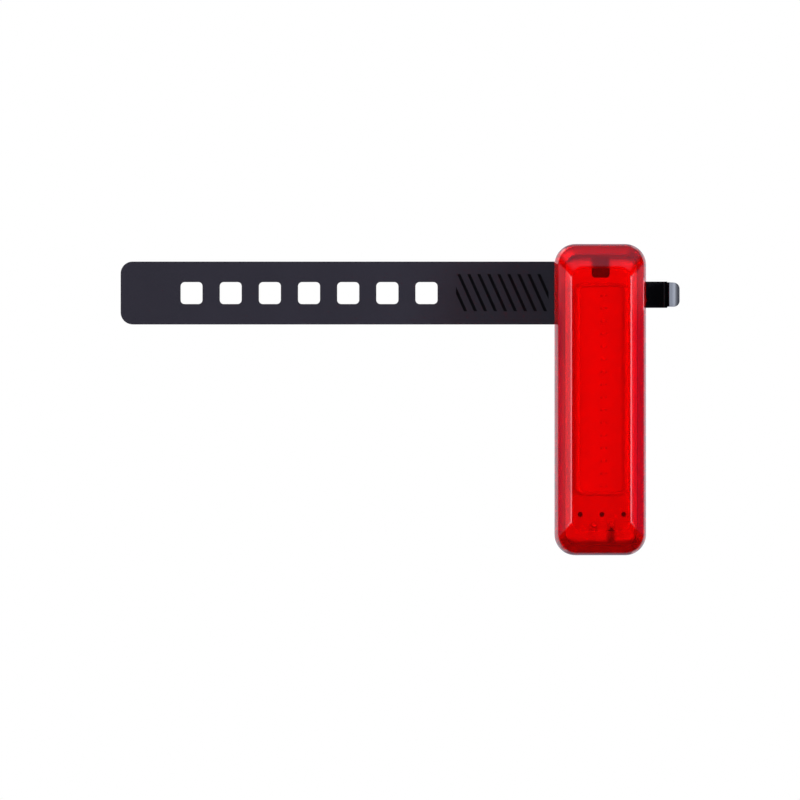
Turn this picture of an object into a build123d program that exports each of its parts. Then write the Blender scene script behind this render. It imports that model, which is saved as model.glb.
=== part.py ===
from build123d import *
import math
import os

# Rechargeable rear bike light with a red lens, a chip-on-board LED strip and a
# rubber strap for the seat post. Millimetres. +Z is up along the light's long
# body, the lens faces -Y, the strap leaves towards -X and the hook is at +X.
# The origin is the middle of the rubber saddle, where the seat post touches it.
# A depth is a distance in front of that point, so a depth d lies at y = -d.

os.makedirs("parts", exist_ok=True)

# Lens
rim_width = 22.0
rim_height = 74.7
rim_radius = 5.0
side_draft = 1.1
end_draft = 0.9
shoulder_radius = 4.3
lens_wall_depth = 5.6
bevel_side = 2.7
bevel_end = 4.65
bevel_depth = 2.4
face_radius = 3.1
edge_round = 0.35
lens_wall = 1.6
lens_skirt = 1.7
strap_from_top = 11.55

# Lens joint and seal
tongue_set_in = 0.9
tongue_thickness = 0.8
tongue_depth = 1.2
seal_thickness = 0.6
joint_clearance = 0.05

# Rear housing
rim_overhang = 0.3
housing_wall = 1.5
back_wall = 1.5
back_draft = 0.25
back_round = 1.4
housing_radius = 4.7
cavity_radius = 3.2
back_panel_width = 11.0
back_panel_height = 22.0
back_panel_radius = 1.6
back_panel_depth = 0.3
back_panel_up = 7.5

# Post saddle
post_radius = 15.9
pad_thickness = 1.5
pad_edge = 0.2
pad_end_margin = 0.85
pad_groove_count = 5
pad_groove_pitch = 3.0
pad_groove_width = 0.9
pad_groove_depth = 0.45
peg_radius = 1.2
peg_height = 1.0
peg_spacing = 10.5
peg_clearance = 0.05
block_height = 3.5
ear_thickness = 1.4

# Strap and its pin
strap_width = 15.2
strap_thickness = 2.2
strap_reach = 104.65
strap_corner = 2.9
strap_edge_round = 0.5
strap_hole = 5.35
strap_hole_corner = 1.0
strap_hole_count = 7
strap_hole_pitch = 9.48
strap_tab = 14.45
grip_length = 22.4
grip_height = 8.66
grip_up = 0.16
grip_from_rim = 1.1
groove_pitch = 2.42
groove_width = 0.6
groove_depth = 0.5
groove_lean = 3.65
groove_start = 0.35
pin_radius = 1.1
pin_recess = 0.4
eye_wall = 1.1
eye_gap = 0.5
pin_clearance = 0.05
ear_clearance = 0.3
ear_wall = 0.9
strap_hide = 1.0

# Hook
hook_drop = 0.42
arm_height = 6.35
arm_thickness = 2.4
crook_width = 5.55
crook_round = 1.1
lip_height = 5.85
lip_thickness = 3.05
lip_length = 4.8
lip_corner = 1.5
tip_round = 0.35
hook_bend = 1.8
lip_bulge = 0.35

# Depth stack inside the body
tape_thickness = 0.3
foam_thickness = 0.6
board_thickness = 1.0
carrier_depth = 4.6
rim_ahead = 2.6
led_board_thickness = 1.0

# Battery
battery_side_gap = 0.7
battery_end_gap = 0.9
battery_thickness = 4.5
battery_round = 1.2
cell_board_inset = 1.5
cell_board_depth = 3.4
cell_board_thickness = 0.8
battery_lead_spacing = 2.6

# LED board
led_board_side_gap = 0.88
led_board_end_gap = 2.4
led_board_radius = 2.0
key_notch_width = 4.36
key_notch_depth = 3.75
key_notch_round = 1.0
key_clearance = 0.15
key_rise = 0.7
gauge_hole_radius = 0.53
gauge_pitch = 5.2
gauge_offset = 0.3
gauge_up = 5.52
lead_radius = 0.275
wire_bend_share = 0.45
left_notch_width = 0.8
left_notch_depth = 1.05
left_lead_x = -1.65
right_notch_width = 1.55
right_notch_depth = 1.7
right_lead_x = 2.55
pad_up = 2.77
solder_radius = 0.55
solder_height = 0.55
copper_pad_width = 1.7
copper_pad_height = 1.3
copper_thickness = 0.05

# Chip-on-board strip
dam_side_margin = 1.68
dam_bottom_margin = 9.94
dam_line = 1.0
dam_rise = 0.7
dam_corner = 2.0
dam_offset_x = 0.3
dam_up = 1.17
gel_rise = 0.5
chip_count = 16
chip_end_gap = 1.32
chip_size = 0.75
chip_thickness = 0.2
chip_offset_x = 0.39
chip_down = 0.42

# Control board
board_side_gap = 0.4
board_top_gap = 1.65
board_bottom_gap = 0.55
board_corner = 2.6
carrier_side_gap = 0.16
carrier_end_gap = 0.35
carrier_corner = 3.0
carrier_rail = 2.2
carrier_end_bar = 9.0
carrier_bar = 6.0
post_boss_radius = 2.2
screw_hole_clearance = 0.15
screw_radius = 0.7
screw_head_radius = 1.45
screw_head_height = 0.9
screw_length = 6.4
screw_post_inset = 4.0
top_screw_from_top = 13.95
bottom_screw_from_bottom = 10.1
rib_width = 1.0
rib_length = 4.0
rib_spacing = 30.0

# Push button and its switch
button_width = 7.4
button_height = 3.2
button_clearance = 0.2
button_sink = 0.2
flange_border = 0.6
flange_thickness = 0.75
flange_gap = 0.1
button_travel = 0.4
button_depth = 10.2
switch_width = 4.5
switch_length = 3.4
switch_thickness = 2.5
stem_width = 2.6
stem_thickness = 1.2
stem_show = 0.95
stem_bury = 0.6
stem_clearance = 0.1
stem_gap = 0.05
terminal_width = 0.7
terminal_length = 1.1
terminal_thickness = 0.3

# Charging socket and its cover
socket_width = 7.5
socket_height = 2.6
socket_length = 5.2
socket_wall = 0.3
socket_corner = 0.7
socket_tongue_width = 3.7
socket_tongue_thickness = 0.65
socket_tongue_length = 3.6
contact_count = 5
contact_pitch = 0.65
contact_width = 0.3
contact_thickness = 0.12
mouth_clearance = 0.35
socket_gap = 0.2
cover_width = 11.4
cover_height = 5.9
cover_thickness = 0.7
cover_gap = 0.05
cover_side_gap = 0.2
cover_sink = 0.2
cover_lip = 0.4
cover_corner = 1.2
plug_clearance = 0.2
plug_depth = 0.6
trunnion_radius = 0.3
trunnion_length = 0.6
trunnion_clearance = 0.05
pull_tab_width = 4.0
pull_tab_depth = 0.35
pull_tab_length = 0.7

# Parts on the control board
charger_chip_size = (1.7, 3.0, 1.1)
charger_chip_x = -2.6
charger_chip_down = 14.0
controller_chip_size = (4.0, 5.0, 1.5)
controller_chip_x = 1.5
controller_chip_up = 12.0
driver_chip_size = (3.0, 1.7, 1.1)
driver_chip_x = 2.0
driver_chip_down = 8.0
capacitor_size = (1.3, 2.0, 1.2)
resistor_size = (0.8, 1.6, 0.45)
small_part_gap = 0.7
gauge_led_size = (1.0, 1.8, 0.8)
gauge_window_gap = 0.2

# Worked out from the sizes above
body_drop = rim_height / 2 - strap_from_top
back_face = pad_thickness + block_height
cavity_back = back_face + back_wall
battery_back = cavity_back + tape_thickness
battery_front = battery_back + battery_thickness
board_back = battery_front + foam_thickness
board_front = board_back + board_thickness
carrier_front = board_front + carrier_depth
led_front = carrier_front + led_board_thickness
rim_depth = board_front + rim_ahead
shoulder_depth = rim_depth + lens_wall_depth
face_depth = shoulder_depth + bevel_depth
inner_front = face_depth - lens_wall

shoulder_width = rim_width - 2 * side_draft
shoulder_height = rim_height - 2 * end_draft
face_width = shoulder_width - 2 * bevel_side
face_height = shoulder_height - 2 * bevel_end

housing_width = rim_width - 2 * rim_overhang
housing_height = rim_height - 2 * rim_overhang
cavity_width = housing_width - 2 * housing_wall
cavity_height = housing_height - 2 * housing_wall
cavity_top = cavity_height / 2 - body_drop
cavity_bottom = -cavity_height / 2 - body_drop
housing_top = housing_height / 2 - body_drop
housing_bottom = -housing_height / 2 - body_drop
tongue_width_outer = rim_width - 2 * tongue_set_in
tongue_height_outer = rim_height - 2 * tongue_set_in
tongue_width_inner = tongue_width_outer - 2 * tongue_thickness
tongue_height_inner = tongue_height_outer - 2 * tongue_thickness
tongue_radius = rim_radius - tongue_set_in
rebate_depth = rim_depth - tongue_depth - seal_thickness

eye_radius = pin_radius + eye_wall
pin_x = -(rim_width / 2 - eye_radius - strap_hide)
pin_depth = back_face - eye_radius - eye_gap
core_left = pin_x + eye_radius + eye_gap
pad_width = 2 * (-core_left - pad_edge)
ear_inner = strap_width / 2 + ear_clearance
block_half = ear_inner + ear_thickness
pad_length = 2 * (block_half - pad_end_margin)
strap_end_x = -(rim_width / 2 + strap_reach)

arm_back = pin_depth - strap_thickness / 2
arm_front = arm_back + arm_thickness
lip_inner = rim_width / 2 + crook_width
lip_outer = lip_inner + lip_thickness
lip_tip = arm_front + lip_length

screw_post_x = cavity_width / 2 - screw_post_inset
board_width = cavity_width - 2 * board_side_gap
board_top = cavity_top - board_top_gap
board_bottom = cavity_bottom + board_bottom_gap
board_height = board_top - board_bottom
board_centre = (board_top + board_bottom) / 2
top_screw_z = cavity_top - top_screw_from_top
bottom_screw_z = cavity_bottom + bottom_screw_from_bottom

battery_width = cavity_width - 2 * (rib_width + battery_side_gap)
battery_bottom = bottom_screw_z + post_boss_radius + battery_end_gap
battery_top = top_screw_z - post_boss_radius - battery_end_gap - cell_board_thickness
cell_board_width = battery_width - 2 * cell_board_inset


def at_depth(depth, x=0.0, z=0.0):
    """A place on the plane that faces the viewer at one depth."""
    return Plane.XZ.offset(depth) * Pos(x, z)


def rounded_block(width, height, radius, start, end, x=0.0, z=0.0):
    """A rounded rectangle that runs from one depth to another."""
    outline = at_depth(start, x, z) * RectangleRounded(width, height, radius)
    return extrude(outline, amount=end - start)


def plain_block(left, right, start, end, low, high):
    """A box between two sides, two depths and two heights."""
    size = Box(right - left, end - start, high - low)
    return Pos((left + right) / 2, -(start + end) / 2, (low + high) / 2) * size


def rod(radius, x, z, start, end):
    """A round rod along the depth."""
    return extrude(at_depth(start, x, z) * Circle(radius), amount=end - start)


def upright_rod(radius, x, depth, low, high):
    """A round rod along the height."""
    return extrude(Pos(x, -depth, low) * Circle(radius), amount=high - low)


def stack(sections):
    """A solid through rounded rectangles: width, height, radius and depth of each."""
    faces = []
    for width, height, radius, depth in sections:
        faces.append(at_depth(depth, 0, -body_drop) * RectangleRounded(width, height, radius))
    solid = loft(faces[0:2], ruled=True)
    for lower, upper in zip(faces[1:-1], faces[2:]):
        solid = solid + loft([lower, upper], ruled=True)
    return solid


def inner_size(depth):
    """Width and height of the lens's hollow at a depth in its side wall."""
    share = (depth - rim_depth) / lens_wall_depth
    width = rim_width - 2 * lens_skirt - 2 * side_draft * share
    height = rim_height - 2 * lens_skirt - 2 * end_draft * share
    return width, height


def lens():
    outside = stack([
        (rim_width, rim_height, rim_radius, rim_depth),
        (shoulder_width, shoulder_height, shoulder_radius, shoulder_depth),
        (face_width, face_height, face_radius, face_depth),
    ])
    front = outside.faces().sort_by(Axis.Y)[0]
    outside = fillet(front.edges(), edge_round)
    hollow_shoulder = shoulder_depth - lens_wall / 3
    hollow_width, hollow_height = inner_size(hollow_shoulder)
    mouth_width, mouth_height = inner_size(rim_depth)
    front_width = face_width - lens_wall / 2
    front_height = face_height - lens_wall / 2
    hollow = stack([
        (mouth_width, mouth_height, rim_radius - lens_skirt, rim_depth),
        (hollow_width, hollow_height, shoulder_radius - lens_wall, hollow_shoulder),
        (front_width, front_height, face_radius - lens_wall / 3, inner_front),
    ])
    tongue = rounded_block(tongue_width_outer, tongue_height_outer, tongue_radius,
                           rim_depth - tongue_depth, rim_depth, 0, -body_drop)
    tongue -= rounded_block(tongue_width_inner, tongue_height_inner, tongue_radius - tongue_thickness,
                            rim_depth - tongue_depth, rim_depth, 0, -body_drop)
    return outside - hollow + tongue


def lens_seal():
    start = rebate_depth
    end = rim_depth - tongue_depth
    ring = rounded_block(tongue_width_outer, tongue_height_outer, tongue_radius,
                         start, end, 0, -body_drop)
    ring -= rounded_block(tongue_width_inner, tongue_height_inner, tongue_radius - tongue_thickness,
                          start, end, 0, -body_drop)
    return ring


def post_cylinder(radius):
    """The seat post's space, or a larger one round the same axis."""
    return upright_rod(radius, 0, -post_radius, -2 * block_half, 2 * block_half)


def saddle_block():
    """The raised block behind the housing: a dished core and two ears for the pin."""
    core = plain_block(core_left, -core_left, -post_radius, cavity_back, -block_half, block_half)
    core -= post_cylinder(post_radius + pad_thickness)
    ear_radius = pin_radius + ear_wall
    ear = Pos(pin_x, -pin_depth) * Circle(ear_radius)
    foot_width = core_left - pin_x + ear_radius
    ear += Pos(pin_x - ear_radius + foot_width / 2, -(pin_depth + cavity_back) / 2) * Rectangle(
        foot_width, cavity_back - pin_depth)
    web_width = core_left - pin_x
    ear += Pos(pin_x + web_width / 2, -(pin_depth - ear_radius + cavity_back) / 2) * Rectangle(
        web_width, cavity_back - pin_depth + ear_radius)
    ears = extrude(Pos(0, 0, ear_inner) * ear, amount=ear_thickness)
    ears += extrude(Pos(0, 0, -block_half) * ear, amount=ear_thickness)
    block = core + ears
    for side in (-1, 1):
        block += rod(peg_radius, 0, side * peg_spacing / 2, pad_thickness - peg_height, back_face)
    return block


def hook():
    """The hook seen from above is a bent arm, and from the front a rounded tongue."""
    bend_x = lip_outer - hook_bend
    tip_x = lip_inner + tip_round
    root_x = -core_left - back_wall
    with BuildSketch() as section:
        with BuildLine():
            Line((root_x, -arm_back), (bend_x, -arm_back))
            CenterArc((bend_x, -arm_back - hook_bend), hook_bend, 90, -90)
            SagittaArc((lip_outer, -arm_back - hook_bend), (tip_x, -lip_tip), -lip_bulge)
            CenterArc((tip_x, -lip_tip + tip_round), tip_round, 270, -90)
            Line((lip_inner, -lip_tip + tip_round), (lip_inner, -arm_front - crook_round))
            CenterArc((lip_inner - crook_round, -arm_front - crook_round), crook_round, 0, 90)
            Line((lip_inner - crook_round, -arm_front), (root_x, -arm_front))
            Line((root_x, -arm_front), (root_x, -arm_back))
        make_face()
    solid = extrude(Pos(0, 0, -hook_drop - arm_height / 2) * section.sketch, amount=arm_height)
    arm_length = lip_inner - root_x
    front_view = Pos(root_x + arm_length / 2, -hook_drop) * Rectangle(arm_length, arm_height)
    front_view += Pos(lip_outer - lip_height / 2, -hook_drop) * RectangleRounded(
        lip_height, lip_height, lip_corner)
    bent = solid & extrude(Plane.XZ * front_view, amount=lip_tip + lip_length)
    root = plain_block(root_x, housing_width / 2 - back_round, arm_front, cavity_back,
                       -hook_drop - arm_height / 2, -hook_drop + arm_height / 2)
    return bent + root


def screw_places():
    return [(screw_post_x, top_screw_z), (-screw_post_x, bottom_screw_z)]


def cover_hinge():
    """Depth and height of the port cover's hinge line."""
    depth = rebate_depth - cover_lip - cover_side_gap - cover_height
    height = housing_bottom + cover_sink + cover_thickness / 2
    return depth, height


def socket_middle():
    return board_back - socket_height / 2


def socket_mouth():
    return cavity_bottom + socket_gap


def port_cuts():
    """The cover's recess, the plug's way in and the holes for the hinge ends."""
    hinge_depth, hinge_height = cover_hinge()
    floor = housing_bottom + cover_sink + cover_thickness + cover_gap
    recess = plain_block(-cover_width / 2 - cover_side_gap, cover_width / 2 + cover_side_gap,
                         hinge_depth - cover_thickness / 2 - cover_side_gap,
                         hinge_depth + cover_height + cover_side_gap,
                         housing_bottom - cover_thickness, floor)
    mouth = plain_block(-socket_width / 2 - mouth_clearance, socket_width / 2 + mouth_clearance,
                        socket_middle() - socket_height / 2 - mouth_clearance,
                        socket_middle() + socket_height / 2 + mouth_clearance,
                        housing_bottom, cavity_bottom + housing_wall)
    span = cover_width + 2 * cover_side_gap + 2 * trunnion_length
    hole = Pos(0, -hinge_depth, hinge_height) * Rot(0, 90, 0) * Cylinder(
        trunnion_radius + trunnion_clearance, span)
    return recess + mouth + hole


def button_cut():
    opening = SlotOverall(button_width + 2 * button_clearance, button_height + 2 * button_clearance)
    return extrude(Pos(0, -button_depth, cavity_top - flange_gap) * opening,
                   amount=2 * housing_wall)


def rear_housing():
    outer = stack([
        (housing_width - 2 * back_draft, housing_height - 2 * back_draft, housing_radius - back_draft,
         back_face),
        (housing_width, housing_height, housing_radius, rim_depth),
    ])
    rear = outer.faces().sort_by(Axis.Y)[-1]
    outer = fillet(rear.edges(), back_round)
    shell = outer + saddle_block() + hook()
    shell -= rounded_block(cavity_width, cavity_height, cavity_radius,
                           cavity_back, rim_depth, 0, -body_drop)
    shell -= rounded_block(tongue_width_outer + 2 * joint_clearance,
                           tongue_height_outer + 2 * joint_clearance,
                           tongue_radius + joint_clearance, rebate_depth, rim_depth, 0, -body_drop)
    for x, z in screw_places():
        shell += rod(post_boss_radius, x, z, cavity_back, board_back)
        shell -= rod(screw_radius, x, z, cavity_back, board_back)
    rib_out = cavity_width / 2 + housing_wall / 2
    rib_in = cavity_width / 2 - rib_width
    for side in (-1, 1):
        for level in (-rib_spacing / 2, rib_spacing / 2):
            low = -body_drop + level - rib_length / 2
            shell += plain_block(min(side * rib_in, side * rib_out), max(side * rib_in, side * rib_out),
                                 cavity_back, board_back, low, low + rib_length)
    shell -= upright_rod(pin_radius, pin_x, pin_depth, -block_half + pin_recess, block_half)
    shell -= port_cuts()
    shell -= button_cut()
    panel_middle = housing_bottom + back_panel_up + back_panel_height / 2
    return shell - rounded_block(back_panel_width, back_panel_height, back_panel_radius,
                                 back_face, back_face + back_panel_depth, 0, panel_middle)


def saddle_pad():
    half = pad_length / 2
    pad = plain_block(-pad_width / 2, pad_width / 2, -post_radius, pad_thickness, -half, half)
    pad &= post_cylinder(post_radius + pad_thickness)
    pad -= post_cylinder(post_radius)
    for index in range(pad_groove_count):
        z = (index - (pad_groove_count - 1) / 2) * pad_groove_pitch
        ring = upright_rod(post_radius + pad_groove_depth, 0, -post_radius,
                           z - pad_groove_width / 2, z + pad_groove_width / 2)
        pad -= ring
    for side in (-1, 1):
        pad -= rod(peg_radius + peg_clearance, 0, side * peg_spacing / 2,
                   pad_thickness - peg_height - peg_clearance, back_face)
    return pad


def strap():
    """The flat strap with its eye, its square holes and the slanted grip grooves."""
    length = pin_x - strap_end_x
    back = pin_depth - strap_thickness / 2
    front = pin_depth + strap_thickness / 2
    band = rounded_block(length + strap_corner, strap_width, strap_corner, back, front,
                         strap_end_x + (length + strap_corner) / 2, 0)
    band &= plain_block(strap_end_x, pin_x, back, front, -strap_width / 2, strap_width / 2)
    ends = band.faces().filter_by(Axis.Y)
    band = fillet([e for face in ends for e in face.edges() if e.center().X < pin_x - strap_edge_round],
                  strap_edge_round)
    band += upright_rod(eye_radius, pin_x, pin_depth, -strap_width / 2, strap_width / 2)
    for index in range(strap_hole_count):
        x = strap_end_x + strap_tab + strap_hole / 2 + index * strap_hole_pitch
        band -= rounded_block(strap_hole, strap_hole, strap_hole_corner, back, front, x, 0)
    grip_right = -(rim_width / 2 + grip_from_rim)
    field = Pos(grip_right - grip_length / 2, grip_up) * Rectangle(grip_length, grip_height)
    count = int(grip_length / groove_pitch) + 1
    lean = math.degrees(math.atan2(groove_lean, grip_height))
    grooves = Sketch()
    for index in range(count):
        x = grip_right - grip_length + groove_start + groove_pitch * index
        bar = Pos(x, grip_up) * Rot(0, 0, lean) * Rectangle(groove_width, 2 * grip_height)
        grooves += bar & field
    band -= extrude(Plane.XZ.offset(front - groove_depth) * grooves, amount=2 * groove_depth)
    band -= upright_rod(pin_radius + pin_clearance, pin_x, pin_depth, -strap_width, strap_width)
    return band


def strap_pin():
    return upright_rod(pin_radius, pin_x, pin_depth, -block_half + pin_recess, block_half)


def led_board_outline():
    width, height = inner_size(carrier_front)
    return width - 2 * led_board_side_gap, height - 2 * led_board_end_gap


def led_board_bottom():
    return -led_board_outline()[1] / 2 - body_drop


def led_board_top():
    return led_board_outline()[1] / 2 - body_drop


def gauge_places():
    z = led_board_bottom() + gauge_up
    return [(gauge_offset + step * gauge_pitch, z) for step in (-1, 0, 1)]


def led_board():
    width, height = led_board_outline()
    board = rounded_block(width, height, led_board_radius, carrier_front, led_front, 0, -body_drop)
    top = led_board_top()
    board -= rounded_block(key_notch_width, 2 * key_notch_depth, key_notch_round,
                           carrier_front, led_front, 0, top)
    for x, z in gauge_places():
        board -= rod(gauge_hole_radius, x, z, carrier_front, led_front)
    bottom = led_board_bottom()
    for x, wide, deep in ((left_lead_x, left_notch_width, left_notch_depth),
                          (right_lead_x, right_notch_width, right_notch_depth)):
        board -= plain_block(x - wide / 2, x + wide / 2, carrier_front, led_front, bottom, bottom + deep)
    return board


def dam_size():
    """Width and height of the bead, from the board's free face."""
    width, height = led_board_outline()
    return width - 2 * dam_side_margin, height - key_notch_depth - dam_up - dam_bottom_margin


def dam_middle():
    return led_board_top() - key_notch_depth - dam_up - dam_size()[1] / 2


def led_dam():
    dam_width, dam_height = dam_size()
    z = dam_middle()
    end = led_front + dam_rise
    ring = rounded_block(dam_width, dam_height, dam_corner, led_front, end, dam_offset_x, z)
    ring -= rounded_block(dam_width - 2 * dam_line, dam_height - 2 * dam_line, dam_corner - dam_line,
                          led_front, end, dam_offset_x, z)
    return ring


def chip_places():
    z = dam_middle() - chip_down
    x = dam_offset_x + chip_offset_x
    span = dam_size()[1] - 2 * (dam_line + chip_end_gap) - chip_size
    return [(x, z + (index / (chip_count - 1) - 0.5) * span) for index in range(chip_count)]


def led_chips():
    half = chip_size / 2
    chips = []
    for x, z in chip_places():
        chips.append(plain_block(x - half, x + half, led_front, led_front + chip_thickness,
                                 z - half, z + half))
    return Compound(children=chips)


def led_gel():
    dam_width, dam_height = dam_size()
    gel = rounded_block(dam_width - 2 * dam_line, dam_height - 2 * dam_line, dam_corner - dam_line,
                        led_front, led_front + gel_rise, dam_offset_x, dam_middle())
    half = chip_size / 2
    for x, z in chip_places():
        gel -= plain_block(x - half, x + half, led_front, led_front + chip_thickness,
                           z - half, z + half)
    return gel


def lead_ends():
    z = led_board_bottom() + pad_up
    return [(left_lead_x, z), (right_lead_x, z)]


def led_solder():
    """A domed joint over each copper pad where a lead ends."""
    joints = []
    for x, z in lead_ends():
        start = led_front + copper_thickness
        ball = Pos(x, -start, z) * Sphere(solder_radius)
        cap = ball & plain_block(x - solder_radius, x + solder_radius, start, start + solder_height,
                                 z - solder_radius, z + solder_radius)
        joints.append(cap)
    return Compound(children=joints)


def led_pads():
    pads = []
    for x, z in lead_ends():
        pads.append(plain_block(x - copper_pad_width / 2, x + copper_pad_width / 2,
                                led_front, led_front + copper_thickness,
                                z - copper_pad_height / 2, z + copper_pad_height / 2))
    return Compound(children=pads)


def lead_path(points):
    """A bent wire route with each corner as round as its runs allow."""
    radii = []
    for before, here, after in zip(points[:-2], points[1:-1], points[2:]):
        first = Vector(*here) - Vector(*before)
        second = Vector(*after) - Vector(*here)
        turn = first.get_angle(second)
        shorter = min(first.length, second.length)
        radii.append(wire_bend_share * shorter / math.tan(math.radians(turn / 2)))
    print("lead radii", [round(r, 2) for r in radii])
    return FilletPolyline(*points, radius=radii)


def wire(points, radius):
    path = lead_path(points)
    start = Plane(origin=path @ 0, z_dir=path % 0)
    return sweep(start * Circle(radius), path=path)


def led_leads():
    """Two wires from the control board, round the LED board's edge to its front."""
    wires = []
    for x, z in lead_ends():
        lift = led_front + copper_thickness + lead_radius
        low = led_board_bottom() + lead_radius
        wires.append(wire([(x, -board_front, low), (x, -lift, low), (x, -lift, z - solder_radius)],
                          lead_radius))
    return Compound(children=wires)


def led_carrier():
    """The black frame that spaces the LED board off the control board."""
    mouth_width, mouth_height = inner_size(carrier_front)
    width = mouth_width - 2 * carrier_side_gap
    height = mouth_height - 2 * carrier_end_gap
    frame = rounded_block(width, height, carrier_corner, board_front, carrier_front, 0, -body_drop)
    window_width = width - 2 * carrier_rail
    top = height / 2 - body_drop - carrier_end_bar
    bottom = -height / 2 - body_drop + carrier_end_bar
    middle = (top + bottom) / 2
    for low, high in ((bottom, middle - carrier_bar / 2), (middle + carrier_bar / 2, top)):
        frame -= plain_block(-window_width / 2, window_width / 2, board_front, carrier_front, low, high)
    for x, z in screw_places():
        frame += rod(post_boss_radius, x, z, board_front, carrier_front)
        frame -= rod(screw_radius + screw_hole_clearance, x, z, board_front, carrier_front)
        frame -= rod(screw_head_radius + screw_hole_clearance, x, z,
                     carrier_front - screw_head_height, carrier_front)
    for x, z in gauge_places():
        half_width = gauge_led_size[0] / 2 + gauge_window_gap
        half_height = gauge_led_size[1] / 2 + gauge_window_gap
        frame -= plain_block(x - half_width, x + half_width, board_front, carrier_front,
                             z - half_height, z + half_height)
    low = led_board_bottom()
    frame -= plain_block(left_lead_x - left_notch_width, right_lead_x + right_notch_width,
                         board_front, carrier_front, low - lead_radius, low + right_notch_depth)
    key_width = key_notch_width - 2 * key_clearance
    frame += plain_block(-key_width / 2, key_width / 2, carrier_front, carrier_front + key_rise,
                         led_board_top() - key_notch_depth + key_clearance + key_notch_round / 2,
                         led_board_top())
    return frame


def carrier_screws():
    screws = []
    for x, z in screw_places():
        head = rod(screw_head_radius, x, z, carrier_front - screw_head_height, carrier_front)
        head -= rod(screw_radius / 2, x, z, carrier_front - screw_head_height / 2, carrier_front)
        tip = carrier_front - screw_head_height - screw_length
        screws.append(head + rod(screw_radius, x, z, tip, carrier_front - screw_head_height))
    return Compound(children=screws)


def control_board():
    board = rounded_block(board_width, board_height, board_corner, board_back, board_front,
                          0, board_centre)
    for x, z in screw_places():
        board -= rod(screw_radius + screw_hole_clearance, x, z, board_back, board_front)
    return board


def on_board_front(size, x, z):
    wide, tall, thick = size
    return plain_block(x - wide / 2, x + wide / 2, board_front, board_front + thick,
                       z - tall / 2, z + tall / 2)


def chip_spots():
    """Size and centre of the charger, the controller and the driver."""
    return [
        (charger_chip_size, charger_chip_x, board_centre - charger_chip_down),
        (controller_chip_size, controller_chip_x, board_centre + controller_chip_up),
        (driver_chip_size, driver_chip_x, board_centre - driver_chip_down),
    ]


def charger_chip():
    return on_board_front(*chip_spots()[0])


def controller_chip():
    return on_board_front(*chip_spots()[1])


def driver_chip():
    return on_board_front(*chip_spots()[2])


def capacitors():
    """One capacitor above each chip."""
    placed = []
    for size, x, z in chip_spots():
        above = z + size[1] / 2 + small_part_gap + capacitor_size[1] / 2
        placed.append(on_board_front(capacitor_size, x, above))
    return Compound(children=placed)


def resistors():
    """Two resistors below each chip, side by side."""
    placed = []
    for size, x, z in chip_spots():
        below = z - size[1] / 2 - small_part_gap - resistor_size[1] / 2
        for side in (-1, 1):
            aside = x + side * (resistor_size[0] + small_part_gap) / 2
            placed.append(on_board_front(resistor_size, aside, below))
    return Compound(children=placed)


def gauge_leds():
    return Compound(children=[on_board_front(gauge_led_size, x, z) for x, z in gauge_places()])


def battery_cell():
    cell = plain_block(-battery_width / 2, battery_width / 2, battery_back, battery_front,
                       battery_bottom, battery_top)
    return fillet(cell.edges().filter_by(Axis.Z), battery_round)


def battery_tape():
    inset = battery_round
    return plain_block(-battery_width / 2 + inset, battery_width / 2 - inset,
                       cavity_back, battery_back, battery_bottom + inset, battery_top - inset)


def battery_foam():
    inset = 2 * battery_round
    return plain_block(-battery_width / 2 + inset, battery_width / 2 - inset,
                       battery_front, board_back, battery_bottom + inset, battery_top - inset)


def cell_board():
    start = battery_back + battery_round / 2
    return plain_block(-cell_board_width / 2, cell_board_width / 2, start, start + cell_board_depth,
                       battery_top, battery_top + cell_board_thickness)


def battery_leads():
    start = battery_top + cell_board_thickness
    depth = battery_back + battery_round / 2 + cell_board_depth / 2
    rise = start + (board_back - depth)
    wires = []
    for side in (-1, 1):
        x = side * battery_lead_spacing / 2
        wires.append(wire([(x, -depth, start), (x, -depth, rise), (x, -board_back, rise)], lead_radius))
    return Compound(children=wires)


def button():
    top = housing_top - button_sink
    flange_top = cavity_top - flange_gap
    place = Pos(0, -button_depth, flange_top)
    cap = extrude(place * SlotOverall(button_width, button_height), amount=top - flange_top)
    cap = fillet(cap.faces().sort_by(Axis.Z)[-1].edges(), edge_round)
    flange = extrude(place * SlotOverall(button_width + 2 * flange_border,
                                         button_height + 2 * flange_border),
                     amount=-flange_thickness)
    return cap + flange


def stem_top():
    return cavity_top - flange_gap - flange_thickness - stem_gap


def switch_top():
    return stem_top() - stem_show


def switch_stem():
    middle = board_back - switch_thickness / 2
    return plain_block(-stem_width / 2, stem_width / 2, middle - stem_thickness / 2,
                       middle + stem_thickness / 2, switch_top() - stem_bury, stem_top())


def switch_body():
    middle = board_back - switch_thickness / 2
    top = switch_top()
    body = plain_block(-switch_width / 2, switch_width / 2, board_back - switch_thickness, board_back,
                       top - switch_length, top)
    pocket = stem_bury + button_travel + stem_clearance
    body -= plain_block(-stem_width / 2 - stem_clearance, stem_width / 2 + stem_clearance,
                        middle - stem_thickness / 2 - stem_clearance,
                        middle + stem_thickness / 2 + stem_clearance, top - pocket, top)
    return body


def switch_terminals():
    low = switch_top() - switch_length - terminal_length
    legs = []
    for side in (-1, 1):
        x = side * (switch_width / 2 - terminal_width)
        legs.append(plain_block(x - terminal_width / 2, x + terminal_width / 2,
                                board_back - terminal_thickness, board_back,
                                low, low + terminal_length))
    return Compound(children=legs)


def socket_shell():
    middle = socket_middle()
    place = Pos(0, -middle, socket_mouth())
    shell = extrude(place * RectangleRounded(socket_width, socket_height, socket_corner),
                    amount=socket_length)
    inside = RectangleRounded(socket_width - 2 * socket_wall, socket_height - 2 * socket_wall,
                              socket_corner - socket_wall / 2)
    shell -= extrude(place * inside, amount=socket_length - socket_wall)
    return shell


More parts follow.
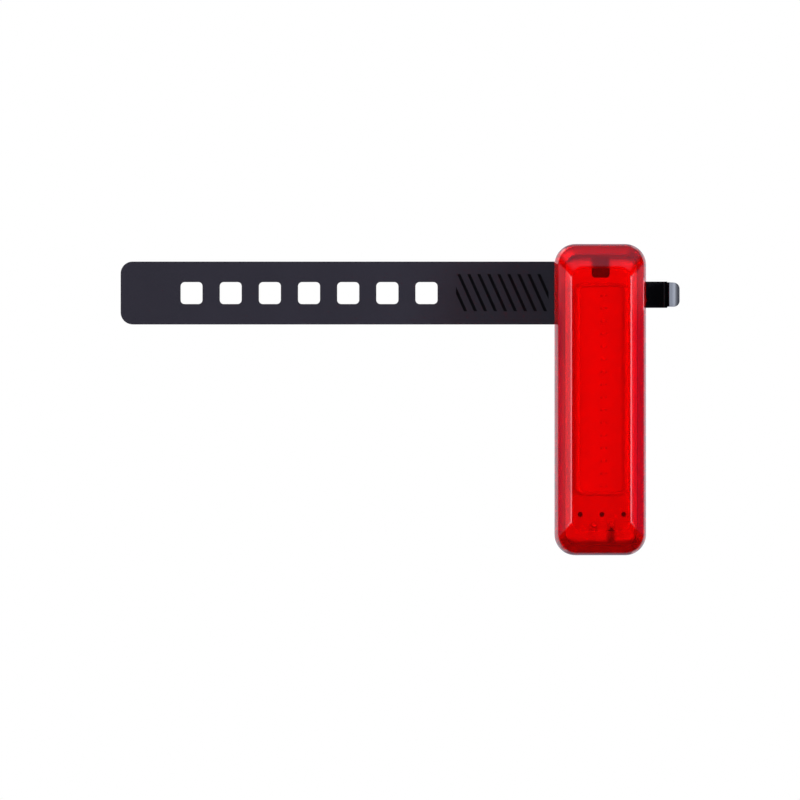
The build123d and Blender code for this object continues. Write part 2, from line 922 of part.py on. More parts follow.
def socket_tongue():
    middle = socket_middle()
    end = socket_mouth() + socket_length - socket_wall
    return plain_block(-socket_tongue_width / 2, socket_tongue_width / 2,
                       middle - socket_tongue_thickness / 2,
                       middle + socket_tongue_thickness / 2, end - socket_tongue_length, end)


def socket_contacts():
    start = socket_middle() + socket_tongue_thickness / 2
    end = socket_mouth() + socket_length - socket_wall
    strips = []
    for index in range(contact_count):
        x = (index - (contact_count - 1) / 2) * contact_pitch
        strips.append(plain_block(x - contact_width / 2, x + contact_width / 2,
                                  start, start + contact_thickness,
                                  end - socket_tongue_length + contact_width, end))
    return Compound(children=strips)


def port_cover():
    """A snap-in door: a plate with a plug, a knuckle and two stub ends."""
    hinge_depth, hinge_height = cover_hinge()
    low = hinge_height - cover_thickness / 2
    high = hinge_height + cover_thickness / 2
    plate = plain_block(-cover_width / 2, cover_width / 2, hinge_depth, hinge_depth + cover_height,
                        low, high)
    far = [e for e in plate.edges().filter_by(Axis.Z) if e.center().Y < -hinge_depth - cover_corner]
    plate = fillet(far, cover_corner)
    knuckle = Pos(0, -hinge_depth, hinge_height) * Rot(0, 90, 0) * Cylinder(
        cover_thickness / 2, cover_width)
    stub = Pos(0, -hinge_depth, hinge_height) * Rot(0, 90, 0) * Cylinder(
        trunnion_radius, cover_width + 2 * cover_side_gap + 2 * (trunnion_length - cover_gap))
    half_width = socket_width / 2 + mouth_clearance - plug_clearance
    half_height = socket_height / 2 + mouth_clearance - plug_clearance
    plug = plain_block(-half_width, half_width, socket_middle() - half_height,
                       socket_middle() + half_height, high, high + plug_depth)
    grip = plain_block(-pull_tab_width / 2, pull_tab_width / 2,
                       hinge_depth + cover_height - 2 * pull_tab_length,
                       hinge_depth + cover_height - pull_tab_length,
                       low, low + pull_tab_depth)
    return plate + knuckle + stub + plug - grip


pieces = {
    "lens": lens,
    "lens_seal": lens_seal,
    "rear_housing": rear_housing,
    "saddle_pad": saddle_pad,
    "strap": strap,
    "strap_pin": strap_pin,
    "led_board": led_board,
    "led_dam": led_dam,
    "led_chips": led_chips,
    "led_gel": led_gel,
    "led_pads": led_pads,
    "led_solder": led_solder,
    "led_leads": led_leads,
    "led_carrier": led_carrier,
    "carrier_screws": carrier_screws,
    "control_board": control_board,
    "charger_chip": charger_chip,
    "controller_chip": controller_chip,
    "driver_chip": driver_chip,
    "capacitors": capacitors,
    "resistors": resistors,
    "gauge_leds": gauge_leds,
    "battery_cell": battery_cell,
    "battery_tape": battery_tape,
    "battery_foam": battery_foam,
    "cell_board": cell_board,
    "battery_leads": battery_leads,
    "button": button,
    "switch_stem": switch_stem,
    "switch_body": switch_body,
    "switch_terminals": switch_terminals,
    "socket_shell": socket_shell,
    "socket_tongue": socket_tongue,
    "socket_contacts": socket_contacts,
    "port_cover": port_cover,
}

for name, make in pieces.items():
    export_step(make(), f"parts/{name}.step")
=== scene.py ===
import math

import bmesh
import bpy
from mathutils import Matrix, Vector


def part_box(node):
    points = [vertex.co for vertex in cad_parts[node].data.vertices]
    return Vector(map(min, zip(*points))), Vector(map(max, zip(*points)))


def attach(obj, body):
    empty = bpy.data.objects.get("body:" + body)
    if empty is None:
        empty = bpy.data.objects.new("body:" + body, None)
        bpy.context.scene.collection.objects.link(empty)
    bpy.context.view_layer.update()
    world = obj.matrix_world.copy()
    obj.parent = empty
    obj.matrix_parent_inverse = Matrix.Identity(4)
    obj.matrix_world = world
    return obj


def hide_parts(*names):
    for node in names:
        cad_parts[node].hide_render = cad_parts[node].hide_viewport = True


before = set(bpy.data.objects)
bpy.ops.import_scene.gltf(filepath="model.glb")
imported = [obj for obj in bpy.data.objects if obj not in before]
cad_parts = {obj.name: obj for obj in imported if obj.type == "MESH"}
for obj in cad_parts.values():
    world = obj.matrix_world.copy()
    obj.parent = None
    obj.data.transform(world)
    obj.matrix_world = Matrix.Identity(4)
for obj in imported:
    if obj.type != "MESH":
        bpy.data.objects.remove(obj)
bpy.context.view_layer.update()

# Rear housing: one glossy black ABS moulding that carries all the rest. The hook, the two ears for
# the strap's pin and the dished block for the post are part of it. It leaves the mould polished,
# with faint flow marks, and a fine round runs along each of its edges.


class Tone:
    """A value, colour or vector on its way through a material. Arithmetic on it adds the nodes."""

    def __init__(self, tree, socket):
        self.tree = tree
        self.socket = socket

    def node(self, kind, settings, inputs, output=0):
        """Adds a node, sets its settings, then gives its sockets their values or links."""
        made = self.tree.nodes.new(kind)
        for key, value in settings.items():
            if key == "stops":
                self.set_stops(made.color_ramp, value)
            else:
                setattr(made, key, value)
        for key, value in inputs.items():
            if isinstance(value, Tone):
                self.tree.links.new(value.socket, made.inputs[key])
            else:
                made.inputs[key].default_value = value
        return Tone(self.tree, made.outputs[output]) if made.outputs else None

    def set_stops(self, ramp, stops):
        """Gives a ramp its stops, each a place and a colour."""
        while len(ramp.elements) < len(stops):
            ramp.elements.new(1.0)
        for element, (place_on_ramp, colour) in zip(ramp.elements, stops):
            element.position = place_on_ramp
            element.color = (*colour, 1.0)

    def math(self, operation, *values):
        """Adds a Math node that works on these values in turn."""
        return self.node("ShaderNodeMath", {"operation": operation}, dict(enumerate(values)))

    def __add__(self, other):
        return self.math("ADD", self, other)

    def __radd__(self, other):
        return self.math("ADD", other, self)

    def __sub__(self, other):
        return self.math("SUBTRACT", self, other)

    def __rsub__(self, other):
        return self.math("SUBTRACT", other, self)

    def __mul__(self, other):
        return self.math("MULTIPLY", self, other)

    def __rmul__(self, other):
        return self.math("MULTIPLY", other, self)

    def __abs__(self):
        return self.math("ABSOLUTE", self)

    def along(self, axis):
        """One coordinate of this vector, X, Y or Z."""
        return self.node("ShaderNodeSeparateXYZ", {}, {0: self}, output=axis)

    def between(self, low, high):
        """0 at low, 1 at high and a smooth rise from one to the other."""
        return self.node("ShaderNodeMapRange", {"interpolation_type": "SMOOTHSTEP"},
                         {"Value": self, "From Min": low, "From Max": high})

    def noise(self, grain, detail=2.0, roughness=0.5):
        """Cloudy noise whose blots are about one grain across."""
        return self.node("ShaderNodeTexNoise", {},
                         {"Vector": self, "Scale": 1 / grain, "Detail": detail, "Roughness": roughness})

    def cells(self, grain):
        """Distance to the nearest point of a random scatter, one grain apart."""
        return self.node("ShaderNodeTexVoronoi", {}, {"Vector": self, "Scale": 1 / grain})

    def stretched(self, x, y, z):
        """Coordinates scaled along each axis, so that a pattern on them is drawn out."""
        return self.node("ShaderNodeVectorMath", {"operation": "MULTIPLY"}, {0: self, 1: (x, y, z)})

    def pick(self, first, second):
        """A colour between two, with this value as the share of the second."""
        return self.node("ShaderNodeMix", {"data_type": "RGBA"},
                         {0: self, 6: rgba(first), 7: rgba(second)}, output=2)

    def bump(self, depth):
        """A normal raised by this value times a depth in metres."""
        return self.node("ShaderNodeBump", {}, {"Height": self, "Distance": depth})


def rgba(colour):
    """A plain colour with its alpha. A linked one passes as it is."""
    return colour if isinstance(colour, Tone) else (*colour, 1.0)


def new_finish(name):
    """Starts a material. Gives it and the object coordinates that its pattern is laid out in."""
    material = bpy.data.materials.new(name)
    material.use_nodes = True
    material.node_tree.nodes.clear()
    coordinates = material.node_tree.nodes.new("ShaderNodeTexCoord")
    return material, Tone(material.node_tree, coordinates.outputs["Object"])


def plain_surface(place, sockets):
    """Ends a material in one Principled shader with these sockets."""
    shader = place.node("ShaderNodeBsdfPrincipled", {}, sockets)
    place.node("ShaderNodeOutputMaterial", {}, {"Surface": shader})


def coat(piece, material):
    """Puts one material on every face of a piece."""
    if not piece.material_slots:
        piece.data.materials.append(material)
    for slot in piece.material_slots:
        slot.material = material


def coat_nodes(material, *names):
    """Puts one material on CAD nodes that keep their own shape."""
    for name in names:
        coat(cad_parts[name], material)


def shape_with(piece, kind, **settings):
    """Gives a piece a modifier with these settings and applies it."""
    modifier = piece.modifiers.new(kind.lower(), kind)
    for key, value in settings.items():
        setattr(modifier, key, value)
    bpy.context.view_layer.objects.active = piece
    bpy.ops.object.modifier_apply(modifier=modifier.name)


def ease(piece, width, segments=2, angle=35):
    """Rounds the edges that are sharper than an angle in degrees."""
    shape_with(piece, "BEVEL", width=width, segments=segments, limit_method="ANGLE",
               angle_limit=math.radians(angle), miter_outer="MITER_ARC", use_clamp_overlap=True)


def clean(piece):
    """Merges the doubled points of a piece and clears the edges that cross its flat faces."""
    bpy.ops.object.select_all(action="DESELECT")
    piece.select_set(True)
    bpy.context.view_layer.objects.active = piece
    bpy.ops.object.mode_set(mode="EDIT")
    bpy.ops.mesh.select_all(action="SELECT")
    bpy.ops.mesh.remove_doubles(threshold=0.000002)
    bpy.ops.mesh.dissolve_limited(angle_limit=math.radians(0.5))
    bpy.ops.object.mode_set(mode="OBJECT")


def polish(piece, angle=35):
    """Shades a piece smoothly up to an angle in degrees, with its flat faces kept flat."""
    bpy.ops.object.select_all(action="DESELECT")
    piece.select_set(True)
    bpy.context.view_layer.objects.active = piece
    bpy.ops.object.shade_smooth_by_angle(angle=math.radians(angle))
    shape_with(piece, "WEIGHTED_NORMAL", keep_sharp=True)


def fit(piece, body, slot, *nodes):
    """Hands a piece to a body, in place of the CAD nodes that it stands for."""
    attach(piece, body)
    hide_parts(*nodes)


housing = bpy.data.objects.new("housing_shell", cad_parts["rear_housing"].data.copy())
bpy.context.scene.collection.objects.link(housing)
clean(housing)
bpy.ops.mesh.customdata_custom_splitnormals_clear()
ease(housing, 0.00014, segments=2, angle=40)
polish(housing)

gloss_black, place = new_finish("gloss black ABS")
flow = place.stretched(1, 1, 0.3).noise(0.006, detail=3.0)
specks = place.noise(0.0004)
plain_surface(place, {
    "Base Color": flow.pick((0.008, 0.0075, 0.009), (0.014, 0.013, 0.015)),
    "Roughness": 0.04 + 0.05 * flow,
    "Normal": specks.bump(0.000003),
})
coat(housing, gloss_black)
fit(housing, "light", "body_black", "rear_housing")

# Strap pin: a ground steel dowel, pressed up through both ears and the strap's eye. Its ends are
# eased, and the grinding leaves fine rings round it.
steel, place = new_finish("ground steel")
rings = place.stretched(0.2, 0.2, 1).noise(0.0003, detail=3.0)
plain_surface(place, {
    "Base Color": rings.pick((0.50, 0.50, 0.52), (0.62, 0.62, 0.63)),
    "Metallic": 1.0,
    "Roughness": 0.22 + 0.16 * rings,
    "Normal": rings.bump(0.000004),
})
coat_nodes(steel, "strap_pin")

# Strap: moulded in one piece from black silicone rubber. It has an eye for the pin, ten slanted
# grip grooves and seven square holes that drop over the hook.


def begin(name):
    """Starts a piece as an empty mesh in edit mode, with nothing else selected."""
    bpy.ops.object.select_all(action="DESELECT")
    bpy.ops.mesh.primitive_plane_add(size=0.01)
    piece = bpy.context.object
    piece.name = name
    piece.data.name = name
    bpy.ops.object.mode_set(mode="EDIT")
    bpy.ops.mesh.delete(type="VERT")
    return piece


def end():
    """Leaves edit mode with every face turned outwards."""
    bpy.ops.mesh.select_all(action="SELECT")
    bpy.ops.mesh.normals_make_consistent(inside=False)
    bpy.ops.object.mode_set(mode="OBJECT")


def choose(kind, test):
    """Selects the vertices, edges or faces of the mesh being edited that pass a test."""
    bpy.ops.mesh.select_mode(type=kind)
    bpy.ops.mesh.select_all(action="DESELECT")
    shape = bmesh.from_edit_mesh(bpy.context.edit_object.data)
    for part in {"VERT": shape.verts, "EDGE": shape.edges, "FACE": shape.faces}[kind]:
        part.select_set(test(part))
    shape.select_flush_mode()
    bmesh.update_edit_mesh(bpy.context.edit_object.data)


def add_block(low, high):
    """Adds a box between two corners to the mesh being edited, left selected."""
    middle = [(a + b) / 2 for a, b in zip(low, high)]
    bpy.ops.mesh.select_all(action="DESELECT")
    bpy.ops.mesh.primitive_cube_add(size=1, location=middle)
    bpy.ops.transform.resize(value=[b - a for a, b in zip(low, high)], center_override=middle)


def add_rod(radius, low, high, steps=32):
    """Adds a round rod between two points on a line along one axis."""
    run = Vector(high) - Vector(low)
    turn = {0: (0, math.pi / 2, 0), 1: (math.pi / 2, 0, 0), 2: (0, 0, 0)}
    axis = max(range(3), key=lambda index: abs(run[index]))
    bpy.ops.mesh.select_all(action="DESELECT")
    bpy.ops.mesh.primitive_cylinder_add(vertices=steps, radius=radius, depth=run.length,
                                        location=(Vector(low) + Vector(high)) / 2, rotation=turn[axis])


def add_rounded(width, height, radius, centre, steps=6, flat=False):
    """Adds a rounded rectangle that faces the viewer, or lies flat, left selected."""
    bpy.ops.mesh.select_mode(type="VERT")
    bpy.ops.mesh.select_all(action="DESELECT")
    turn = (0, 0, 0) if flat else (math.pi / 2, 0, 0)
    size = (width, height, 1) if flat else (width, 1, height)
    bpy.ops.mesh.primitive_plane_add(size=1, location=centre, rotation=turn)
    bpy.ops.transform.resize(value=size, center_override=centre)
    bpy.ops.mesh.bevel(offset=radius, segments=steps, affect="VERTICES")


def pull(x, y, z):
    """Extrudes what is selected by a step."""
    bpy.ops.mesh.extrude_region_move(TRANSFORM_OT_translate={"value": (x, y, z)})


def combine(piece, other, operation):
    """Cuts a piece with another one, or joins the two, and takes the other away."""
    shape_with(piece, "BOOLEAN", operation=operation, solver="EXACT", object=other)
    bpy.data.objects.remove(other)


low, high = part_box("strap")
eye_radius = 0.0022
bore_radius = 0.00115
half_thickness = 0.0011
end_round = 0.0029
pin_x = high.x - eye_radius
pin_y = (low.y + high.y) / 2
strap_back = pin_y + half_thickness
strap_front = pin_y - half_thickness
strap = begin("strap_band")
add_block((low.x, strap_front, low.z), (pin_x, strap_back, high.z))
choose("EDGE", lambda e: all(v.co.x < low.x + 0.001 for v in e.verts) and
       abs(e.verts[0].co.y - e.verts[1].co.y) > 0.001)
bpy.ops.mesh.bevel(offset=end_round, segments=10, affect="EDGES")
end()
eye = begin("strap_eye")
add_rod(eye_radius, (pin_x, pin_y, low.z), (pin_x, pin_y, high.z), steps=48)
end()
combine(strap, eye, "UNION")
first_hole = low.x + 0.017125
hole_pitch = 0.00948
hole_size = 0.00535
hole_round = 0.001
bore = begin("strap_bore")
add_rod(bore_radius, (pin_x, pin_y, -0.01), (pin_x, pin_y, 0.01), steps=40)
for index in range(7):
    add_rounded(hole_size, hole_size, hole_round, (first_hole + index * hole_pitch, 0, 0))
    pull(0, -0.006, 0)
end()
combine(strap, bore, "DIFFERENCE")
clean(strap)
ease(strap, 0.00035, segments=3, angle=50)
grooves = begin("strap_grooves")
grip_left = -0.0345
grip_right = -0.0121
first_groove = -0.03422
groove_pitch = 0.00242
groove_depth = 0.0005
half_groove = 0.00039
groove_low = -0.0044
groove_high = 0.00456
lean = 0.00404
for index in range(10):
    x = first_groove + index * groove_pitch + lean / 2
    add_block((x - half_groove, strap_front - 0.001, groove_low),
              (x + half_groove, strap_front + groove_depth, groove_high))
    choose("VERT", lambda v: v.co.z > groove_high - 0.0001 and abs(v.co.x - x) < 0.0005)
    bpy.ops.transform.translate(value=(-lean, 0, 0))
for side, edge in ((-1, grip_left), (1, grip_right)):
    bpy.ops.mesh.select_all(action="SELECT")
    bpy.ops.mesh.bisect(plane_co=(edge, 0, 0), plane_no=(side, 0, 0), use_fill=True, clear_outer=True)
end()
combine(strap, grooves, "DIFFERENCE")
ease(strap, 0.00006, segments=2, angle=50)
polish(strap)

strap_rubber, place = new_finish("strap silicone")
clouds = place.noise(0.02, detail=3.0)
grain = place.noise(0.00025, detail=3.0)
dust = 1 - place.cells(0.004).between(0.02, 0.05)
# The floors of the grip grooves are painted near-black as painted shade, and are also made rougher.
sunk = place.along("Y") - strap_front
shaded_groove = sunk.between(0.00004, 0.00016) * (1 - sunk.between(0.0006, 0.0007))
shaded_groove = shaded_groove * place.along("X").between(-0.0352, -0.0348)
shaded_groove = shaded_groove * (1 - abs(place.along("Z")).between(0.0046, 0.0047))
rubber = (0.9 * clouds + 0.1 * dust).pick((0.016, 0.015, 0.021), (0.022, 0.0205, 0.029))
plain_surface(place, {
    "Base Color": shaded_groove.pick(rubber, (0.003, 0.003, 0.004)),
    "Roughness": 0.5 + 0.12 * grain + 0.3 * shaded_groove,
    "Specular IOR Level": 0.4,
    "Normal": grain.bump(0.000012),
})
coat(strap, strap_rubber)
fit(strap, "strap", "strap_rubber", "strap")

# Saddle pad: soft rubber, pressed over two pegs on the dished block. Five grooves across it grip
# the seat post.
low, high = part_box("saddle_pad")
post_radius = 0.0159
pad_thickness = 0.0015
pad_angle = 17
cut_angle = 22
cut_pitch = 0.003
cut_depth = 0.00045
half_cut = 0.00045
peg_radius = 0.00125
peg_z = 0.00525


def add_arc_bar(inner, outer, low_z, high_z, angle):
    """Adds half of a bar that is bent round the seat post, from the middle to an angle."""
    centre = (0, post_radius - (inner + outer) / 2, (low_z + high_z) / 2)
    bpy.ops.mesh.select_all(action="DESELECT")
    bpy.ops.mesh.primitive_plane_add(size=1, location=centre, rotation=(0, math.pi / 2, 0))
    bpy.ops.transform.resize(value=(1, outer - inner, high_z - low_z), center_override=centre)
    bpy.ops.mesh.delete(type="ONLY_FACE")
    choose("VERT", lambda v: abs(v.co.x) < 0.000001 and low_z - 0.000001 < v.co.z < high_z + 0.000001)
    bpy.ops.mesh.spin(steps=10, angle=math.radians(angle), center=(0, post_radius, 0), axis=(0, 0, 1))
    bpy.ops.mesh.edge_face_add()


pad = begin("saddle_cushion")
add_arc_bar(post_radius, post_radius + pad_thickness, low.z, high.z, pad_angle)
end()
shape_with(pad, "MIRROR", use_clip=True, merge_threshold=0.00001)
pad_cuts = begin("saddle_cuts")
for index in range(5):
    cut_z = (index - 2) * cut_pitch
    add_arc_bar(post_radius - 0.0005, post_radius + cut_depth, cut_z - half_cut, cut_z + half_cut, cut_angle)
end()
shape_with(pad_cuts, "MIRROR", use_clip=True, merge_threshold=0.00001)
combine(pad, pad_cuts, "DIFFERENCE")
pegs = begin("saddle_peg_holes")
for side in (-1, 1):
    add_rod(peg_radius, (0, -0.00045, side * peg_z), (0, -0.005, side * peg_z))
end()
combine(pad, pegs, "DIFFERENCE")
ease(pad, 0.00015, segments=2, angle=40)
polish(pad)

soft_black, place = new_finish("matte black rubber")
grain = place.noise(0.0002, detail=4.0)
bloom = place.noise(0.004, detail=2.0)
plain_surface(place, {
    "Base Color": bloom.pick((0.014, 0.014, 0.015), (0.026, 0.026, 0.027)),
    "Roughness": 0.62 + 0.14 * grain,
    "Specular IOR Level": 0.35,
    "Normal": grain.bump(0.00001),
})
coat(pad, soft_black)
fit(pad, "light", "pad_rubber", "saddle_pad")

# Battery: a flat lithium pouch held down by tape, with a small protection board across its top and
# two soldered leads. A strip of soft foam above it stops it from rattling under the control board.


def bridge_rings(count, ring):
    """Joins each ring of vertices of the mesh being edited to the next one."""
    for index in range(count):
        first = index * ring
        choose("VERT", lambda v: first <= v.index < first + 2 * ring)
        bpy.ops.mesh.select_mode(type="EDGE")
        bpy.ops.mesh.bridge_edge_loops()


def tower(name, sections, middle, steps=8, tube=False, flat=False):
    """A piece through rounded rectangles: width, height, radius and place of each. They stand one
    before the other round a middle, or lie flat in a pile. A tube closes on its first one."""
    piece = begin(name)
    rings = sections + sections[:1] if tube else sections
    for index, (width, height, radius, reach) in enumerate(rings):
        centre = (middle.x, middle.y, reach) if flat else (middle.x, reach, middle.z)
        add_rounded(width, height, radius, centre, steps=steps, flat=flat)
        if tube or 0 < index < len(rings) - 1:
            bpy.ops.mesh.delete(type="ONLY_FACE")
    bridge_rings(len(rings) - 1, 4 * (steps + 1))
    bpy.ops.mesh.select_all(action="SELECT")
    bpy.ops.mesh.remove_doubles(threshold=0.000001)
    end()
    return piece


low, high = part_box("battery_tape")
middle = (low + high) / 2
tape = tower("cell_tape", [
    (high.x - low.x - 0.0001, high.z - low.z - 0.0001, 0.0004, high.y),
    (high.x - low.x, high.z - low.z, 0.00045, (low.y + high.y) / 2),
    (high.x - low.x - 0.0001, high.z - low.z - 0.0001, 0.0004, low.y),
], middle)
polish(tape)
tape_finish, place = new_finish("acrylic foam tape")
grain = place.noise(0.0003, detail=3.0)
plain_surface(place, {
    "Base Color": grain.pick((0.55, 0.55, 0.53), (0.72, 0.72, 0.7)),
    "Roughness": 0.7 + 0.15 * grain,
    "Normal": grain.bump(0.00001),
})
coat(tape, tape_finish)
fit(tape, "light", "foam_grey", "battery_tape")

low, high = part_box("battery_foam")
middle = (low + high) / 2
foam = tower("cell_foam", [
    (high.x - low.x - 0.0006, high.z - low.z - 0.0006, 0.0006, high.y),
    (high.x - low.x - 0.0001, high.z - low.z - 0.0001, 0.0008, high.y - 0.00015),
    (high.x - low.x, high.z - low.z, 0.0008, middle.y),
    (high.x - low.x - 0.0001, high.z - low.z - 0.0001, 0.0008, low.y + 0.00015),
    (high.x - low.x - 0.0006, high.z - low.z - 0.0006, 0.0006, low.y),
], middle)
polish(foam)
foam_finish, place = new_finish("open-cell foam")
pores = place.cells(0.0004)
plain_surface(place, {
    "Base Color": pores.between(0.05, 0.5).pick((0.06, 0.06, 0.065), (0.16, 0.16, 0.17)),
    "Roughness": 0.9,
    "Specular IOR Level": 0.2,
    "Normal": pores.bump(0.00006),
})
coat(foam, foam_finish)
fit(foam, "light", "foam_grey", "battery_foam")

pouch, place = new_finish("aluminium pouch film")
creases = place.stretched(1, 1, 0.35).noise(0.002, detail=4.0, roughness=0.6)
plain_surface(place, {
    "Base Color": creases.pick((0.55, 0.56, 0.58), (0.68, 0.69, 0.70)),
    "Metallic": 1.0,
    "Roughness": 0.3 + 0.2 * creases,
    "Normal": creases.bump(0.00004),
})
coat_nodes(pouch, "battery_cell")

wire_pair, place = new_finish("silicone wire jackets")
scuffs = place.noise(0.0006, detail=3.0)
red_one = scuffs.pick((0.45, 0.015, 0.012), (0.60, 0.03, 0.02))
black_one = place.along("X").between(0.0003, 0.0006)
plain_surface(place, {
    "Base Color": black_one.pick(red_one, (0.012, 0.012, 0.013)),
    "Roughness": 0.4 + 0.15 * scuffs,
    "Normal": scuffs.bump(0.000006),
})
coat_nodes(wire_pair, "battery_leads", "led_leads")

# Control board: green glass-epoxy with the charger, the controller, the LED driver, their
# capacitors and resistors, and three small LEDs that show the charge through the LED board's holes.
board_green, place = new_finish("green solder mask")
weave = place.noise(0.0005, detail=2.0)
tracks = abs(place.stretched(1, 1, 0.25).noise(0.003, detail=1.0) - 0.5).between(0.0, 0.03)
plain_surface(place, {
    "Base Color": tracks.pick((0.02, 0.16, 0.05), (0.008, 0.075, 0.024)),
    "Roughness": 0.32 + 0.1 * weave,
    "Normal": (0.3 * weave + 0.7 * (1 - tracks)).bump(0.00002),
})
coat_nodes(board_green, "control_board", "cell_board")

chip_black, place = new_finish("moulded epoxy")
grain = place.noise(0.00012, detail=3.0)
plain_surface(place, {
    "Base Color": grain.pick((0.012, 0.012, 0.013), (0.03, 0.03, 0.032)),
    "Roughness": 0.5 + 0.2 * grain,
    "Normal": grain.bump(0.000008),
})
coat_nodes(chip_black, "charger_chip", "controller_chip", "driver_chip", "resistors")

ceramic, place = new_finish("tan ceramic")
grain = place.noise(0.0002, detail=3.0)
plain_surface(place, {
    "Base Color": grain.pick((0.30, 0.20, 0.12), (0.42, 0.30, 0.19)),
    "Roughness": 0.45 + 0.15 * grain,
    "Normal": grain.bump(0.000006),
})
coat_nodes(ceramic, "capacitors")

lamp_smoked, place = new_finish("smoked LED body")
grain = place.noise(0.0003, detail=2.0)
plain_surface(place, {
    "Base Color": grain.pick((0.02, 0.018, 0.016), (0.05, 0.045, 0.04)),
    "Roughness": 0.35 + 0.1 * grain,
    "Normal": grain.bump(0.000005),
})
coat_nodes(lamp_smoked, "gauge_leds")

# Push switch: a black nylon body with a sprung stem under the button, soldered to the board by
# two tinned legs.
nylon, place = new_finish("black nylon")
grain = place.noise(0.00015, detail=3.0)
plain_surface(place, {
    "Base Color": grain.pick((0.016, 0.016, 0.017), (0.032, 0.032, 0.034)),
    "Roughness": 0.42 + 0.16 * grain,
    "Normal": grain.bump(0.000008),
})
coat_nodes(nylon, "switch_body", "switch_stem", "socket_tongue")

solder, place = new_finish("tin solder")
ripples = place.noise(0.0004, detail=3.0)
plain_surface(place, {
    "Base Color": ripples.pick((0.60, 0.60, 0.60), (0.78, 0.78, 0.77)),
    "Metallic": 1.0,
    "Roughness": 0.2 + 0.2 * ripples,
    "Normal": ripples.bump(0.00002),
})
coat_nodes(solder, "switch_terminals")

# Charging socket: a folded steel shell round a black tongue with five gold-plated contacts. It is
# soldered to the lower end of the control board.
coat_nodes(steel, "socket_shell")
gold, place = new_finish("gold plating")
wipe = place.stretched(3, 3, 0.5).noise(0.0003, detail=2.0)
plain_surface(place, {
    "Base Color": wipe.pick((0.85, 0.58, 0.22), (0.95, 0.70, 0.32)),
    "Metallic": 1.0,
    "Roughness": 0.18 + 0.14 * wipe,
    "Normal": wipe.bump(0.000003),
})
coat_nodes(gold, "socket_contacts")

# LED carrier: a matte black frame, screwed through the control board into the housing's two posts.
# It spaces the LED board off the control board, and its key shows through the board's notch.
carrier_black, place = new_finish("textured black ABS")
sparks = place.noise(0.00022, detail=3.0)
plain_surface(place, {
    "Base Color": sparks.pick((0.018, 0.018, 0.02), (0.03, 0.03, 0.032)),
    "Roughness": 0.55 + 0.2 * sparks,
    "Specular IOR Level": 0.15,
    "Normal": sparks.bump(0.000015),
})
coat_nodes(carrier_black, "led_carrier")
coat_nodes(steel, "carrier_screws")

# LED board: white solder mask on aluminium, with a brighter coat under the strip of chips. Painted shade
# darkens it along its side edges, along its top edge and round the three holes, and outside the strip it is
# painted lighter towards the top as painted light. Two leads come up through notches in the lower edge and
# end in solder joints on copper pads.
low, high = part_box("led_dam")
strip_middle = (low + high) / 2
strip_size = high - low
board_white, place = new_finish("white solder mask")
orange_peel = place.noise(0.0008, detail=3.0)
tint = place.noise(0.008, detail=2.0)
width_at = place.along("X")
height_at = place.along("Z")
beside = abs(width_at - strip_middle.x).between(strip_size.x / 2 - 0.0007, strip_size.x / 2 - 0.0003)
beyond = abs(height_at - strip_middle.z).between(strip_size.z / 2 - 0.0007, strip_size.z / 2 - 0.0003)
under_strip = (1 - beside) * (1 - beyond)
# Outside the strip the board is painted lighter towards the top: painted light.
shaded_margin = (0.9 * height_at.between(-0.056, -0.002) + 0.1 * tint).pick((0.5, 0.49, 0.48), (0.62, 0.61, 0.59))
# Painted shade: dark bands along both side edges, a little wider on the right, and along the top edge.
edge_and_hole_shade = 0.8 * abs(width_at + 0.0002).between(0.007, 0.008)
edge_and_hole_shade = edge_and_hole_shade.math("MAXIMUM", edge_and_hole_shade, height_at.between(0.0063, 0.0068))
holes_z = -0.05332
middle_hole = 0.0003
gauge_pitch = 0.0052
# Each of the three holes gets a dark ring of painted shade round it.
for index in (-1, 0, 1):
    off_x = width_at - (middle_hole + index * gauge_pitch)
    off_z = height_at - holes_z
    rim = 1 - place.math("SQRT", off_x * off_x + off_z * off_z).between(0.00052, 0.0007)
    edge_and_hole_shade = edge_and_hole_shade.math("MAXIMUM", edge_and_hole_shade, rim)
shaded_margin = edge_and_hole_shade.pick(shaded_margin, (0.1, 0.1, 0.1))
plain_surface(place, {
    "Base Color": under_strip.pick(shaded_margin, (0.635, 0.625, 0.61)),
    "Roughness": 0.32 + 0.12 * orange_peel,
    "Normal": orange_peel.bump(0.000012),
})
coat_nodes(board_white, "led_board")

copper, place = new_finish("tinned copper pad")
grain = place.noise(0.0003, detail=3.0)
plain_surface(place, {
    "Base Color": grain.pick((0.72, 0.42, 0.27), (0.86, 0.56, 0.40)),
    "Metallic": 1.0,
    "Roughness": 0.3 + 0.15 * grain,
    "Normal": grain.bump(0.000005),
})
coat_nodes(copper, "led_pads")

low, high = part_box("led_solder")
joint_radius = 0.00055
joints = begin("lead_joints")
for x, width in ((-0.00165, 1.0), (0.00255, 1.15)):
    base = (x, high.y, (low.z + high.z) / 2)
    bpy.ops.mesh.select_all(action="DESELECT")
    bpy.ops.mesh.primitive_uv_sphere_add(segments=24, ring_count=14, radius=joint_radius, location=base,
                                         rotation=(math.pi / 2, 0, 0))
    bpy.ops.mesh.bisect(plane_co=base, plane_no=(0, 1, 0), use_fill=True, clear_outer=True)
    choose("VERT", lambda v: abs(v.co.x - x) < 0.001 and v.co.z > base[2] + 0.0001)
    bpy.ops.transform.resize(value=(width, 0.9, 1.25), center_override=base)
end()
polish(joints)
fluxed_solder, place = new_finish("fluxed solder")
ripples = place.noise(0.0003, detail=2.0)
plain_surface(place, {
    "Base Color": ripples.pick((0.50, 0.49, 0.46), (0.66, 0.65, 0.61)),
    "Metallic": 0.25,
    "Roughness": 0.16 + 0.1 * ripples,
    "Normal": ripples.bump(0.00002),
})
coat(joints, fluxed_solder)
fit(joints, "light", "solder", "led_solder")

